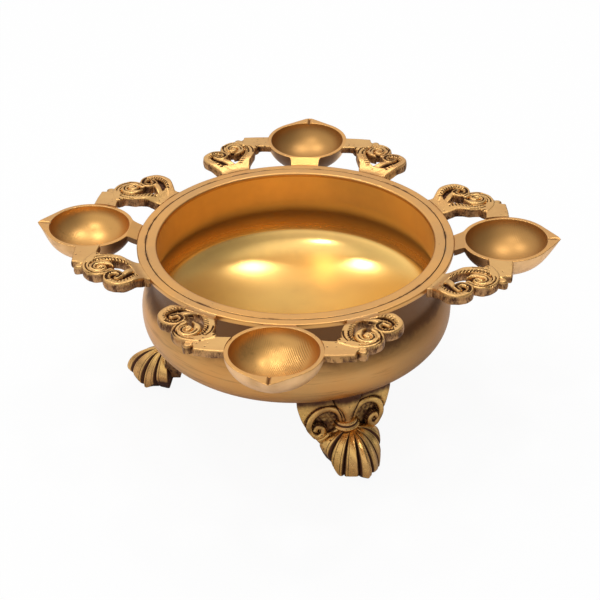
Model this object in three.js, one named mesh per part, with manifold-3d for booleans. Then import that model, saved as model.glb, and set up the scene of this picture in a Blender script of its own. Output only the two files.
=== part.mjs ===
// A cast brass floating-flower bowl on three shell feet. Four leaf-shaped oil cups
// stand round its rim, each between a mirrored pair of openwork scroll brackets.
// Millimetres, +Z up, origin on the bowl's axis at the ground.

import * as THREE from "three";
import { mergeVertices } from "three/addons/utils/BufferGeometryUtils.js";
import Module from "manifold-3d";

const wasm = await Module();
wasm.setup();

// Clearance left between brazed pieces
const brazeGap = 0.3;

// Bowl
const mouthRadius = 80.7;
const bowlWall = 2.8;
const bellyBulge = 8.3;
const groundClearance = 36;
const bellyDepth = 27;
const shoulderHeight = 17;
const neckHeight = 24;
const bellySquareness = 2.9;
const hollowSquareness = 2.2;
const flangeWidth = 6.2;
const flangeThickness = 3;
const lipRound = 1.4;

// Rim ring
const ringWidth = 4.9;
const ringThickness = 3.6;
const ringRound = 0.9;

// Oil cups
const cupRadius = 23.3;
const cupWall = 2.5;
const cupDepth = 16;
const cupFloor = 2.6;
const spoutLength = 5.8;
const cupNeckLength = 3.3;
const cupNeckWidth = 20;
const cupNeckThickness = 3.3;
const cupNeckFillet = 5.5;
const cupLift = 3.6;
const cupTiltDegrees = 3;
const wickGrooveWidth = 2.6;
const wickGrooveDepth = 1.1;

// Scroll brackets, whose outlines are drawn below on a grid of this unit
const scrollGrid = 1;
const scrollThickness = 6.5;
const scrollLift = 4.2;
const scrollRise = 11;
const armWidth = 5.4;
const ringVoluteWidth = 5.6;
const outerVoluteWidth = 5.6;
const curlWidth = 4;
const earWidth = 13.8;
const earMiddle = 25.2;
const earReach = 17.4;
const earScallop = 0.9;
const earThickness = 4.7;
const earDrop = 0.4;
const eyeHeight = 0.9;
const notchCount = 5;
const notchDepth = 1.1;

// Feet, whose outlines are drawn below on a grid of this unit
const footGrid = 1;
const footInset = 13;
const footPlateThickness = 4.2;
const footLean = 1.5;
const footReliefHeight = 4;
const reliefRoot = 1;
const footVoluteWidth = 3.2;
const tongueWidth = 6.6;
const wingSpan = 57;
const shellLength = 26.4;
const shellHalfWidth = 18;
const shellShift = 2.6;
const shellCrest = 23;
const toeLift = 5;
const flankLift = 11;
const fluteCount = 7;
const fluteDepth = 0.085;
const knotHeight = 24.4;
const knotWidth = 14.8;

// Where the pieces stand round the axis, in degrees from +X
const diyaAngles = { front: -90, right: 0, back: 91.5, left: 180 };
const footAngles = { left: 178.5, front: -64.4, back: 56.5 };

// How finely round forms are divided
const roundSteps = 56;
const cupSteps = 28;
const finestEdge = 0.02;

// Sizes that follow from the ones above
const neckOuter = mouthRadius + bowlWall;
const bellyRadius = neckOuter + bellyBulge;
const bellyHeight = groundClearance + bellyDepth;
const shoulderTop = bellyHeight + shoulderHeight;
const rimHeight = shoulderTop + neckHeight;
const flangeRadius = mouthRadius + flangeWidth;
const ringInner = flangeRadius + brazeGap;
const ringOuter = ringInner + ringWidth;
const cupOuter = cupRadius + cupWall;
const cupCentre = ringOuter + brazeGap + cupNeckLength + cupOuter;
const footRadius = bellyRadius - footInset;
const radians = Math.PI / 180;

const brass = { color: 0xb98c3f, roughness: 0.34, metalness: 0.95 };
const satinBrass = { color: 0xa97c3a, roughness: 0.46, metalness: 0.92 };
const antiqueBrass = { color: 0x8f6a33, roughness: 0.52, metalness: 0.9 };

// Turns a closed geometry into a solid that faces outwards. Corners closer than the
// tolerance become one, and the slivers that this leaves are dropped.
function toSolid(geometry, tolerance = 1e-4) {
  const bare = geometry.clone();
  bare.deleteAttribute("normal");
  bare.deleteAttribute("uv");
  const merged = mergeVertices(bare, tolerance);
  const corners = [];
  const index = merged.index.array;
  for (let i = 0; i < index.length; i += 3) {
    const [a, b, c] = [index[i], index[i + 1], index[i + 2]];
    if (a !== b && b !== c && c !== a) corners.push(a, b, c);
  }
  const vertProperties = new Float32Array(merged.attributes.position.array);
  if (signedVolume(vertProperties, corners) < 0) corners.reverse();
  return new wasm.Manifold(
    new wasm.Mesh({ numProp: 3, vertProperties, triVerts: new Uint32Array(corners) })
  );
}

// The volume that a closed surface holds, negative when its faces point inwards.
function signedVolume(points, corners) {
  let sum = 0;
  for (let i = 0; i < corners.length; i += 3) {
    const [a, b, c] = [0, 1, 2].map((k) => new THREE.Vector3().fromArray(points, 3 * corners[i + k]));
    sum += a.dot(b.cross(c)) / 6;
  }
  return sum;
}

// Joins rows of points into a closed surface. A row of one point closes that end.
function loft(rows) {
  const points = [];
  const starts = rows.map((row) => {
    const start = points.length / 3;
    row.forEach((p) => points.push(p.x, p.y, p.z));
    return start;
  });
  const around = Math.max(...rows.map((row) => row.length));
  const at = (r, i) => starts[r] + (rows[r].length === 1 ? 0 : i % around);
  const index = [];
  for (let r = 0; r < rows.length - 1; r++) {
    for (let i = 0; i < around; i++) {
      index.push(at(r, i), at(r, i + 1), at(r + 1, i + 1));
      index.push(at(r, i), at(r + 1, i + 1), at(r + 1, i));
    }
  }
  return toSolid(indexed(points, index));
}

function indexed(points, index) {
  const geometry = new THREE.BufferGeometry();
  geometry.setAttribute("position", new THREE.Float32BufferAttribute(points, 3));
  geometry.setIndex(index);
  return geometry;
}

function surfaceOf(solid) {
  const { vertProperties, triVerts } = solid.getMesh();
  return indexed(Array.from(vertProperties), Array.from(triVerts));
}

// Moves every corner of a solid by a function of its place.
function bend(solid, move) {
  const geometry = surfaceOf(solid);
  const points = geometry.attributes.position;
  for (let i = 0; i < points.count; i++) {
    const { x, y, z } = move(new THREE.Vector3().fromBufferAttribute(points, i));
    points.setXYZ(i, x, y, z);
  }
  return toSolid(geometry);
}

// Revolves a profile of [radius, height] points about the Z axis. It starts and ends
// on the axis, or comes back to its first point.
function revolve(profile) {
  const points = profile.map(([radius, height]) => new THREE.Vector2(radius, height));
  return toSolid(new THREE.LatheGeometry(points, roundSteps).rotateX(Math.PI / 2));
}

// Extrudes an outline of [x, y] points from one height to another.
function prism(outline, low, high) {
  const shape = new THREE.Shape(outline.map(([x, y]) => new THREE.Vector2(x, y)));
  const geometry = new THREE.ExtrudeGeometry(shape, { depth: high - low, bevelEnabled: false });
  return toSolid(geometry.translate(0, 0, low));
}

// A smooth path through a few [x, y] points, as evenly spaced points.
function smooth(points, steps) {
  const curve = new THREE.SplineCurve(points.map(([x, y]) => new THREE.Vector2(x, y)));
  return curve.getSpacedPoints(steps);
}

// The outline of a band along a path, tapering from one width to another.
function band(path, startWidth, endWidth) {
  const left = [];
  const right = [];
  path.forEach((p, i) => {
    const before = path[Math.max(i - 1, 0)];
    const after = path[Math.min(i + 1, path.length - 1)];
    const along = after.clone().sub(before).normalize();
    const half = (startWidth + ((endWidth - startWidth) * i) / (path.length - 1)) / 2;
    left.push([p.x - along.y * half, p.y + along.x * half]);
    right.push([p.x + along.y * half, p.y - along.x * half]);
  });
  return [...left, ...right.reverse()];
}

// Points on an ellipse, or on a part of one.
function ellipse(cx, cy, rx, ry, steps, turn = 0) {
  return Array.from({ length: steps }, (_, i) => {
    const angle = (2 * Math.PI * i) / steps;
    const [x, y] = [rx * Math.cos(angle), ry * Math.sin(angle)];
    return [cx + x * Math.cos(turn) - y * Math.sin(turn), cy + x * Math.sin(turn) + y * Math.cos(turn)];
  });
}

function joinAll(solids) {
  return solids.reduce((whole, solid) => whole.add(solid));
}

function mix(a, b, t) {
  return THREE.MathUtils.lerp(a, b, t);
}

function ease(t) {
  return THREE.MathUtils.smoothstep(t, 0, 1);
}

// The belly below its widest point is a quarter of a superellipse, squarish outside
// and rounder in the hollow.
function bellyCurve(radius, top, depth, steps, squareness = bellySquareness) {
  const power = 2 / squareness;
  return Array.from({ length: steps + 1 }, (_, i) => {
    const angle = (Math.PI / 2) * (i / steps);
    return [radius * Math.sin(angle) ** power, top - depth * Math.cos(angle) ** power];
  });
}

// The shoulder is the part of an ellipse that leads from the belly in to the neck.
function shoulderCurve(radius, neck, low, height, steps) {
  const reach = height / Math.sqrt(1 - (neck / radius) ** 2);
  return Array.from({ length: steps }, (_, i) => {
    const z = (height * (i + 1)) / steps;
    return [radius * Math.sqrt(1 - (z / reach) ** 2), low + z];
  });
}

// The bowl's outside from the middle of its base up to the neck.
function bowlOutside(grow = 0) {
  return [
    ...bellyCurve(bellyRadius + grow, bellyHeight, bellyDepth + grow, 7),
    ...shoulderCurve(bellyRadius + grow, neckOuter + grow, bellyHeight, shoulderHeight, 2),
  ];
}

function bowlInside() {
  return [
    ...bellyCurve(bellyRadius - bowlWall, bellyHeight, bellyDepth - bowlWall, 6, hollowSquareness),
    ...shoulderCurve(bellyRadius - bowlWall, mouthRadius, bellyHeight, shoulderHeight, 2),
  ];
}

function makeBowl() {
  const flange = [
    [neckOuter, rimHeight - flangeThickness],
    [flangeRadius, rimHeight - flangeThickness],
    [flangeRadius, rimHeight],
    [mouthRadius + lipRound, rimHeight],
    [mouthRadius + lipRound * 0.3, rimHeight - lipRound * 0.3],
    [mouthRadius, rimHeight - lipRound],
  ];
  return revolve([...bowlOutside(), ...flange, ...bowlInside().reverse()]);
}

// The rim ring is brazed round the bowl's flange, with its top level with it.
function makeRing() {
  return revolve([
    [ringInner, rimHeight],
    [ringInner, rimHeight - ringThickness],
    [ringOuter - ringRound, rimHeight - ringThickness],
    [ringOuter, rimHeight - ringThickness + ringRound],
    [ringOuter, rimHeight - ringRound],
    [ringOuter - ringRound, rimHeight],
    [ringInner, rimHeight],
  ]);
}

// Everything inside the ring's outer edge, with the clearance that a brazed root keeps.
function ringCutter() {
  const [low, high] = [rimHeight - 6 * ringThickness, rimHeight + 6 * ringThickness];
  const radius = ringOuter + brazeGap;
  return revolve([[0, low], [radius, low], [radius, high], [0, high]]);
}

// How far a cup's wall stands from its middle: a circle drawn out to a pointed spout.
function leafRadius(angle, radius) {
  const tip = radius + spoutLength;
  const tangent = Math.acos(radius / tip);
  const away = Math.abs(Math.atan2(Math.sin(angle), Math.cos(angle)));
  return away < tangent ? radius / Math.cos(tangent - away) : radius;
}

// A cup's form is a half ball whose rows draw out towards an outline as they near the
// rim. It is made round its own middle with its rim at height 0, goes straight up from
// there by the rise, and is then tilted and moved to its place along +X.
function cupForm(radius, outline, depth, rise) {
  const rows = [[new THREE.Vector3(0, 0, -depth)]];
  for (const t of [0.24, 0.46, 0.66, 0.85, 1]) {
    const reach = (angle) => mix(radius, outline(angle), t ** 3) * Math.sin((Math.PI / 2) * t);
    rows.push(outlineRow(reach, -depth * Math.cos((Math.PI / 2) * t)));
  }
  if (rise > 0) rows.push(outlineRow(outline, rise));
  rows.push([new THREE.Vector3(0, 0, rise)]);
  return loft(rows.map((row) => row.map(cupPlace)));
}

function outlineRow(reach, z) {
  return Array.from({ length: cupSteps }, (_, i) => {
    const angle = (2 * Math.PI * i) / cupSteps;
    return new THREE.Vector3(reach(angle) * Math.cos(angle), reach(angle) * Math.sin(angle), z);
  });
}

function cupPlace(point) {
  const tilted = point.clone().applyAxisAngle(new THREE.Vector3(0, 1, 0), -cupTiltDegrees * radians);
  return tilted.add(new THREE.Vector3(cupCentre, 0, rimHeight + cupLift));
}

function cupHull(grow = 0, rise = 0) {
  const outline = (angle) => leafRadius(angle, cupOuter) + grow;
  return cupForm(cupOuter + grow, outline, cupDepth + cupFloor + grow, rise);
}

// The neck widens from the ring into the cup and climbs with the cup's tilt.
function cupNeck() {
  const half = cupNeckWidth / 2;
  const flare = [
    [ringInner, half + 1],
    [ringOuter + brazeGap + 1, half],
    [ringOuter + brazeGap + cupNeckLength, half + 1],
    [cupCentre - cupOuter * 0.75, half + cupNeckFillet],
  ];
  const outline = [...flare.map(([x, y]) => [x, -y]), ...flare.reverse()];
  const climb = cupLift - cupOuter * Math.sin(cupTiltDegrees * radians);
  return bend(prism(outline, rimHeight - cupNeckThickness, rimHeight), (p) => {
    const along = (p.x - ringOuter) / (cupCentre - cupOuter - ringOuter);
    return p.setZ(p.z + climb * THREE.MathUtils.clamp(along, 0, 1.4));
  });
}

// A V-shaped groove for the wick, from the cup's opening out through the spout's tip.
function wickGroove() {
  const [start, end] = [cupRadius - 1.5, cupOuter + spoutLength + 2];
  const half = wickGrooveWidth / 2;
  const section = [
    [0, -wickGrooveDepth],
    [half * 2, wickGrooveDepth],
    [-half * 2, wickGrooveDepth],
  ];
  const rows = [start, end].map((x) => section.map(([y, z]) => cupPlace(new THREE.Vector3(x, y, z))));
  const middle = (row) => [row.reduce((sum, p) => sum.add(p), new THREE.Vector3()).divideScalar(row.length)];
  return loft([middle(rows[0]), ...rows, middle(rows[1])]);
}

function makeCup() {
  const hollow = cupForm(cupRadius, () => cupRadius, cupDepth, cupWall);
  return cupHull().add(cupNeck()).subtract(hollow).subtract(ringCutter()).subtract(wickGroove());
}

// A bracket is drawn in the plane of the rim, for the cup's left side. Its points are
// [out from the ring's edge, sideways from the cup's wall].
function bracketPlan([out, side]) {
  return [ringOuter + out * scrollGrid, cupOuter + side * scrollGrid];
}

function bracketBand(points, steps, startWidth, endWidth) {
  return band(smooth(points.map(bracketPlan), steps), startWidth, endWidth);
}

const ringVolutePath = [
  [-12.5, 16], [-10.4, 25], [-6.2, 33.1], [0.4, 36.8], [6.6, 33.4], [7.4, 27.8], [3.4, 25.3], [0, 28], [1.6, 31.2],
];
const outerVolutePath = [
  [18.2, 8], [21, 13.6], [21.4, 19.4], [19.2, 24.6], [14.6, 27.4], [9.6, 26.4], [6.8, 23.8],
];
const curlPath = [
  [6.2, 19.4], [8.8, 17], [13, 16], [16.8, 17.9], [17.4, 21.6], [15, 24], [12, 23.6], [11.2, 21.6],
];
const armPath = [
  [-9, 17], [-2.5, 13.4], [5, 10.8], [12, 9.9], [19, 12],
];
const rootOutline = [
  [-16, 14], [-9, 8.6], [-0.5, 9.4], [-0.6, 13], [-3.6, 17], [-6, 21.5], [-8.2, 27], [-17, 25],
];

function bracketBody() {
  const [low, high] = [rimHeight + scrollLift - scrollThickness, rimHeight + scrollLift];
  const flat = [
    bracketBand(ringVolutePath, 16, ringVoluteWidth, ringVoluteWidth * 0.62),
    bracketBand(outerVolutePath, 8, outerVoluteWidth, outerVoluteWidth * 0.65),
    bracketBand(curlPath, 8, curlWidth * 0.4, curlWidth),
    bracketBand(armPath, 6, armWidth, armWidth),
    rootOutline.map(bracketPlan),
  ];
  return joinAll([...flat.map((outline) => prism(outline, low, high)), ...bracketTrim(low, high)]);
}

// Raised volute eyes, and the leaf at the ear's end.
function bracketTrim(low, high) {
  const [ringEye, outerEye, leaf] = [[1.4, 30.6], [13.2, 21], [25, 19.2]].map(bracketPlan);
  const [eye, leafLength] = [2.5 * scrollGrid, 5.4 * scrollGrid];
  return [
    prism(ellipse(...ringEye, eye, eye, 6), low, high + eyeHeight),
    prism(ellipse(...outerEye, eye, eye, 6), low, high + eyeHeight),
    prism(ellipse(...leaf, leafLength, leafLength * 0.63, 8, 0.5), low, high - eyeHeight),
  ];
}

// The ear is the flat tab that is brazed to the cup's side. Its outer end has lobes
// like a petal's.
function bracketEar() {
  const [half, steps] = [(earWidth / 2) * scrollGrid, 8];
  const [middle, end] = bracketPlan([earMiddle, earReach]);
  const cap = Array.from({ length: steps + 1 }, (_, i) => {
    const across = half - (2 * half * i) / steps;
    const notch = earScallop * (1 - Math.abs(Math.cos((2 * Math.PI * i) / steps)));
    return [middle + across, end - notch - (0.4 * across ** 2) / half];
  });
  const start = cupOuter - 2 * cupWall;
  const outline = [[middle + half, start], ...cap, [middle - half, start]];
  const top = rimHeight + scrollLift;
  return prism(outline, top - earDrop - earThickness, top - earDrop);
}

// Notches across the arm's cup side, like the barbs of a feather.
function armNotches() {
  const path = smooth(armPath.map(bracketPlan), notchCount + 3).slice(2, notchCount + 2);
  const top = rimHeight + scrollLift;
  return path.map(({ x, y }) => {
    const cut = [[x - notchDepth, y - armWidth], [x, y - armWidth], [x + notchDepth, y]];
    return prism(cut, top - notchDepth, top + notchDepth);
  });
}

// The bracket's root comes down to the ring's level, and the rest stands a little higher.
function dropRoot(p) {
  const out = Math.hypot(p.x, p.y) - ringOuter;
  return p.setZ(p.z - scrollLift * (1 - ease(out / scrollRise)));
}

function makeBracket() {
  const whole = bracketBody().subtract(joinAll(armNotches())).add(bracketEar());
  return bend(whole, dropRoot).subtract(ringCutter()).subtract(cupHull(brazeGap, scrollThickness));
}

// A foot is drawn as if seen from outside, as [sideways, height] points, and wrapped
// round the bowl's axis. It leans in towards the axis as it goes down.
function wrapFoot(side, z, out) {
  const radius = footRadius + out - footLean * (1 - z / (groundClearance + bellyDepth / 3));
  const angle = side / footRadius;
  return new THREE.Vector3(radius * Math.cos(angle), radius * Math.sin(angle), z);
}

// A slice of an outline in the foot's face, between two depths, outwards along +X.
function faceSlice(outline, back, front) {
  return bend(prism(outline, back, front), (p) => wrapFoot(p.x, p.y, p.z));
}

const wingEdge = [
  [0.5, 43], [0.48, 36], [0.435, 28], [0.35, 20], [0.26, 12], [0.17, 5], [0.09, 2],
];
const footVolutePath = [
  [-3.4, 29.5], [-5.6, 35.2], [-10, 38.4], [-15.4, 37.6], [-19.8, 33.6], [-21.8, 27.6], [-20.8, 22.2],
  [-17.4, 19.4], [-14.2, 21.2], [-14.2, 25], [-17, 26.8], [-18.4, 24.6],
];

function footPlate() {
  const top = groundClearance + bellyDepth * 0.55;
  const half = [[wingSpan / 2, top], ...wingEdge.map(([share, z]) => [share * wingSpan, z * footGrid])];
  const outline = [...half, ...half.map(([s, z]) => [-s, z]).reverse()];
  return faceSlice(outline, -footPlateThickness, 0);
}

function footVolutes() {
  return [1, -1].map((hand) => {
    const path = smooth(footVolutePath.map(([side, z]) => [side * hand * footGrid, z * footGrid]), 11);
    return faceSlice(band(path, footVoluteWidth, footVoluteWidth * 0.85), -reliefRoot, footReliefHeight);
  });
}

// The tongue narrows like a funnel down to a knot that gathers the shell's flutes.
function footTongue() {
  const top = groundClearance + bellyDepth * 0.45;
  const [half, waist] = [tongueWidth / 2, knotHeight + 0.3 * (top - knotHeight)];
  const right = [[half, knotHeight], [half, waist], [half * 1.8, (waist + top) / 2], [half * 2.6, top]];
  const outline = [...right, ...right.map(([s, z]) => [-s, z]).reverse()];
  return faceSlice(outline, -reliefRoot, footReliefHeight);
}

function footKnot() {
  const ball = new THREE.SphereGeometry(1, 9, 5).scale(knotWidth * 0.42, knotWidth / 2, knotWidth * 0.36);
  return toSolid(ball.translate(footRadius, 0, knotHeight));
}

// The shell's rim in plan, from the toe round to one side.
function shellRim() {
  const [length, half] = [shellLength, shellHalfWidth];
  return [
    [length, 0], [length * 0.7, half * 0.47], [length * 0.31, half * 0.83], [-length * 0.17, half * 1.06],
  ];
}

// The rim touches the ground halfway between the toe and each flank.
function rimLift(away) {
  const lift = away < Math.PI / 4 ? toeLift : flankLift;
  return lift * Math.abs(Math.cos(2 * Math.min(away, Math.PI / 2))) ** 1.5;
}

// Columns across the shell, each with its plan direction, reach and rim height.
function shellColumns() {
  const steps = 2 * fluteCount;
  const half = smooth(shellRim(), steps);
  const sides = [...half.slice(1).reverse().map((p) => new THREE.Vector2(p.x, -p.y)), ...half];
  return sides.map((p, i) => {
    const lobe = ((i - steps) / steps) * (fluteCount / 2);
    const groove = 1 - Math.abs(Math.cos(Math.PI * lobe)) ** 0.7;
    const direction = Math.atan2(p.y, p.x);
    return { direction, reach: p.length(), groove, low: rimLift(Math.abs(direction)) };
  });
}

// The shell is a domed fan: in each direction a quarter of an ellipse from the knot
// down to the rim, with grooves that deepen towards the rim. Its back is straight, and
// its sole is flat inside the lifted rim.
function footShell() {
  const columns = shellColumns();
  const rows = [[fanPoint(0, 0, shellCrest)]];
  for (const t of [0.2, 0.44, 0.7, 1]) {
    rows.push(columns.map(({ direction, reach, groove, low }) => {
      const depth = 1 - fluteDepth * groove * ease(t * 1.6);
      const down = Math.cos((Math.PI / 2) * t) * depth;
      return fanPoint(direction, reach * Math.sin((Math.PI / 2) * t) * depth, mix(low, shellCrest, down));
    }));
  }
  rows.push(columns.map(({ direction, reach }) => fanPoint(direction, reach * 0.6, 0)));
  rows.push([fanPoint(0, 0, 0)]);
  return loft(rows);
}

function fanPoint(direction, reach, z) {
  const middle = footRadius + footReliefHeight / 2;
  return new THREE.Vector3(middle + reach * Math.cos(direction), shellShift + reach * Math.sin(direction), z);
}

function makeFoot() {
  const belly = bowlOutside(brazeGap);
  const bowl = revolve([...belly, [0, belly.at(-1)[1]]]);
  const pieces = [footPlate(), footTongue(), footKnot(), footShell(), ...footVolutes()];
  return joinAll(pieces).subtract(bowl);
}

// The finished solid as a mesh with its own finish, turned to its place round the axis.
function toMesh(name, solid, finish, degrees = 0) {
  const geometry = surfaceOf(toSolid(surfaceOf(solid), finestEdge));
  geometry.computeVertexNormals();
  const mesh = new THREE.Mesh(geometry, new THREE.MeshStandardMaterial(finish));
  mesh.name = name;
  mesh.rotation.z = degrees * radians;
  return mesh;
}

const part = new THREE.Group();
part.add(toMesh("bowl", makeBowl(), satinBrass));
part.add(toMesh("rim_ring", makeRing(), brass));

const cup = makeCup();
const bracketLeft = makeBracket();
const bracketRight = bend(bracketLeft, (p) => p.setY(-p.y));
for (const [place, degrees] of Object.entries(diyaAngles)) {
  part.add(toMesh(`diya_cup_${place}`, cup, brass, degrees));
  part.add(toMesh(`scroll_${place}_left`, bracketLeft, antiqueBrass, degrees));
  part.add(toMesh(`scroll_${place}_right`, bracketRight, antiqueBrass, degrees));
}

const foot = makeFoot();
for (const [place, degrees] of Object.entries(footAngles)) {
  part.add(toMesh(`foot_${place}`, foot, antiqueBrass, degrees));
}

export default part;
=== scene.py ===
"""A cast brass floating-flower bowl with leaf-shaped lamp cups, dressed for the camera."""

import math

import bpy
import bmesh
import numpy as np
from mathutils import Matrix, Vector


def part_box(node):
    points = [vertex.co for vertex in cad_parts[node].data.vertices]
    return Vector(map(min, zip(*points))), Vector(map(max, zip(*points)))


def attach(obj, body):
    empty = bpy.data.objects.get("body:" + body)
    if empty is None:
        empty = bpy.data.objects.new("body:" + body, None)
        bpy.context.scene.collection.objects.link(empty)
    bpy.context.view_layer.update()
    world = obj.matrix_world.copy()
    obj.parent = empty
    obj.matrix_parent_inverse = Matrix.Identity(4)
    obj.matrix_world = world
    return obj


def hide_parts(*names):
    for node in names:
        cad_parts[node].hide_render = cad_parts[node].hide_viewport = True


bl_info = {
    "name": "Brass Diya Bowl",
    "version": (1, 0, 0),
    "blender": (4, 5, 0),
    "location": "View3D > Sidebar > Diya Bowl",
    "description": "Makes a footed brass bowl with lamp cups on scroll brackets",
    "category": "Add Mesh",
}

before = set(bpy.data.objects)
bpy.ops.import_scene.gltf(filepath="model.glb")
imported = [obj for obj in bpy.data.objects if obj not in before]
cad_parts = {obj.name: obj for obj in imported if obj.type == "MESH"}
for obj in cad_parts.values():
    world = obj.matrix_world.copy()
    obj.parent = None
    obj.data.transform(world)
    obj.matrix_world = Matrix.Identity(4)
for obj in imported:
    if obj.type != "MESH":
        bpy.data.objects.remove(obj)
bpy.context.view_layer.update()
BOWL_LOW, BOWL_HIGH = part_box("bowl")
RING_LOW, RING_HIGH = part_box("rim_ring")
MM = 0.001

# Where the cups and the feet stand round the bowl, in degrees anticlockwise from the X axis
CUP_ANGLES = {"front": -90.0, "right": 0.0, "back": 91.5, "left": 180.0}
FOOT_ANGLES = {"left": 178.5, "front": -64.4, "back": 56.5}

# The belly's outside: its rise to the widest place and the shoulder's rise from there to the
# neck, both in mm, and the power of its superellipse
BELLY_RISE, SHOULDER_RISE, BELLY_POWER = 27, 17, 2.9

# The gap between flange and ring in mm, and the radius of the gap's middle in metres
SEAM, SEAM_RADIUS = 0.3, 0.08705

# Points round the bowl, the ring and a cup, and the round of a cup's rim in mm
BOWL_STEPS, RING_STEPS, CUP_STEPS = 320, 480, 400
LIP_ROUND = 0.35


# Sizes and colours that a user may change

def length(name, description, default):
    """A size in metres."""
    return bpy.props.FloatProperty(
        name=name, description=description, default=default, subtype="DISTANCE", unit="LENGTH", precision=5)


def colour(name, description, default):
    """A colour of three shares, each from 0 to 1."""
    return bpy.props.FloatVectorProperty(
        name=name, description=description, default=default, subtype="COLOR", size=3, min=0, max=1)


class BowlSizes(bpy.types.PropertyGroup):
    belly_radius: length("Belly radius", "Widest radius of the belly", BOWL_HIGH.x)
    mouth_radius: length("Mouth radius", "Inner radius at the rim", 0.0807)
    wall: length("Wall", "Thickness of the bowl's wall", 0.0028)
    base_height: length("Base height", "Underside of the bowl above the ground", BOWL_LOW.z)
    rim_height: length("Rim height", "Top of the rim above the ground", BOWL_HIGH.z)
    flange_radius: length("Flange radius", "Outer radius of the bowl's own flange", 0.0869)
    flange_thickness: length("Flange thickness", "Height of that flange", 0.0030)
    ring_radius: length("Ring radius", "Outer radius of the rim ring", RING_HIGH.x)
    ring_thickness: length("Ring thickness", "Height of the rim ring", RING_HIGH.z - RING_LOW.z)


class CupSizes(bpy.types.PropertyGroup):
    centre: length("Centre", "Distance of a cup's middle from the bowl's axis", 0.1215)
    opening: length("Opening", "Radius of the cup's opening", 0.0233)
    wall: length("Wall", "Thickness of the cup's wall", 0.0025)
    depth: length("Depth", "Depth of the hollow", 0.016)
    floor: length("Floor", "Thickness of the cup's floor", 0.0026)
    spout: length("Spout", "How far the spout's tip stands out of the round wall", 0.00565)
    neck_width: length("Neck width", "Width of the neck that meets the ring", 0.0175)
    lift: length("Lift", "Height of the cup's rim above the bowl's rim", 0.0036)
    tilt: bpy.props.FloatProperty(
        name="Tilt", description="How far the spout points up", default=math.radians(2.2),
        subtype="ANGLE", unit="ROTATION")


class ScrollSizes(bpy.types.PropertyGroup):
    thickness: length("Thickness", "Thickness of a bracket's plate", 0.0056)
    ear: length("Ear thickness", "Depth of the ear's underside below the plate's top", 0.0047)
    lift: length("Lift", "Height of the plate's top above the bowl's rim", 0.0042)
    rise: length("Rise", "How far out the plate reaches its full height", 0.011)
    recess: length("Recess", "Depth of the chased hollows", 0.0026)
    cell: length("Cell", "Spacing of the surface's points", 0.0003)


class FootSizes(bpy.types.PropertyGroup):
    radius: length("Radius", "Distance of a foot's face from the bowl's axis", 0.0788)
    lean: length("Lean", "How far a foot leans in towards the axis on its way down", 0.0015)
    thickness: length("Thickness", "Thickness of a foot's plate", 0.0042)
    relief: length("Relief", "Height of the volutes over the plate", 0.004)
    shell_length: length("Shell length", "Reach of the shell's toe", 0.0264)
    shell_half_width: length("Shell half width", "Half the width of the shell", 0.0180)
    shell_crest: length("Shell crest", "Height of the shell's top above the ground", 0.023)
    shell_shift: length("Shell shift", "How far the shell sits to one side of the foot's middle", 0.0026)
    toe_lift: length("Toe lift", "Height of the toe's edge above the ground", 0.005)
    flank_lift: length("Flank lift", "Height of the shell's edge at its sides", 0.011)
    flutes: bpy.props.IntProperty(name="Flutes", description="Number of lobes on the shell", default=7, min=3)


class BrassFinish(bpy.types.PropertyGroup):
    rim: colour("Rim", "Faced rims of the bowl and the cups", (0.78, 0.40, 0.120))
    inside: colour("Inside", "Spun brass inside the bowl", (1.0, 0.64, 0.20))
    outside: colour("Outside", "Turned brass outside the bowl", (0.70, 0.34, 0.105))
    hollow: colour("Hollow", "Ground brass inside the cups", (0.70, 0.38, 0.115))
    hull: colour("Hull", "Brushed brass outside the cups", (0.98, 0.62, 0.31))
    chased: colour("Chased brass", "Faces of the brackets", (0.78, 0.46, 0.165))
    shell: colour("Shell brass", "Faces of the feet", (1.0, 0.63, 0.19))
    side: colour("Side brass", "Sides and backs of castings", (0.64, 0.36, 0.17))
    warm: colour("Warm tarnish", "Cloudy tarnish over every brass", (0.66, 0.36, 0.13))
    # The patina colour is also used for all the painted shade
    patina: colour("Patina", "Dark film in the recesses", (0.085, 0.030, 0.013))


class StudioLook(bpy.types.PropertyGroup):
    paper: colour("Paper", "Colour of the floor", (0.92, 0.92, 0.92))
    key_power: bpy.props.FloatProperty(
        name="Key power", description="Power that the lamps take their shares of", default=3.6, min=0,
        subtype="POWER", unit="POWER")


# The property groups by the names that they go under in a scene
SETTINGS = {
    "diya_bowl": BowlSizes, "diya_cup": CupSizes, "diya_scroll": ScrollSizes,
    "diya_foot": FootSizes, "diya_finish": BrassFinish, "diya_studio": StudioLook,
}


# Curves and fields, all in millimetres

def ease(t):
    """Rises from 0 to 1 as 3t^2 - 2t^3, flat at both ends."""
    t = np.clip(t, 0, 1)
    return t * t * (3 - 2 * t)


def smooth_max(a, b, blend):
    """The larger of two fields, with the crease between them filled over a blend width."""
    h = np.clip(0.5 + 0.5 * (a - b) / blend, 0, 1)
    return b + (a - b) * h + blend * h * (1 - h)


def soft_curve(points, count):
    """A uniform Catmull-Rom curve through the points, resampled evenly by length."""
    p = np.asarray(points, float)
    t = np.linspace(0, len(p) - 1, 40 * len(p))
    i = np.minimum(t.astype(int), len(p) - 2)
    w = (t - i)[:, None]
    p0, p1 = p[np.maximum(i - 1, 0)], p[i]
    p2, p3 = p[i + 1], p[np.minimum(i + 2, len(p) - 1)]
    v0, v1 = (p2 - p0) / 2, (p3 - p1) / 2
    cubic, square = 2 * p1 - 2 * p2 + v0 + v1, -3 * p1 + 3 * p2 - 2 * v0 - v1
    return even(cubic * w ** 3 + square * w ** 2 + v0 * w + p1, count)


def even(curve, count):
    """The same line with its points evenly spaced by length."""
    steps = np.r_[0, np.cumsum(np.linalg.norm(np.diff(curve, axis=0), axis=1))]
    at = np.linspace(0, steps[-1], count)
    return np.stack([np.interp(at, steps, curve[:, k]) for k in range(curve.shape[1])], 1)


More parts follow.
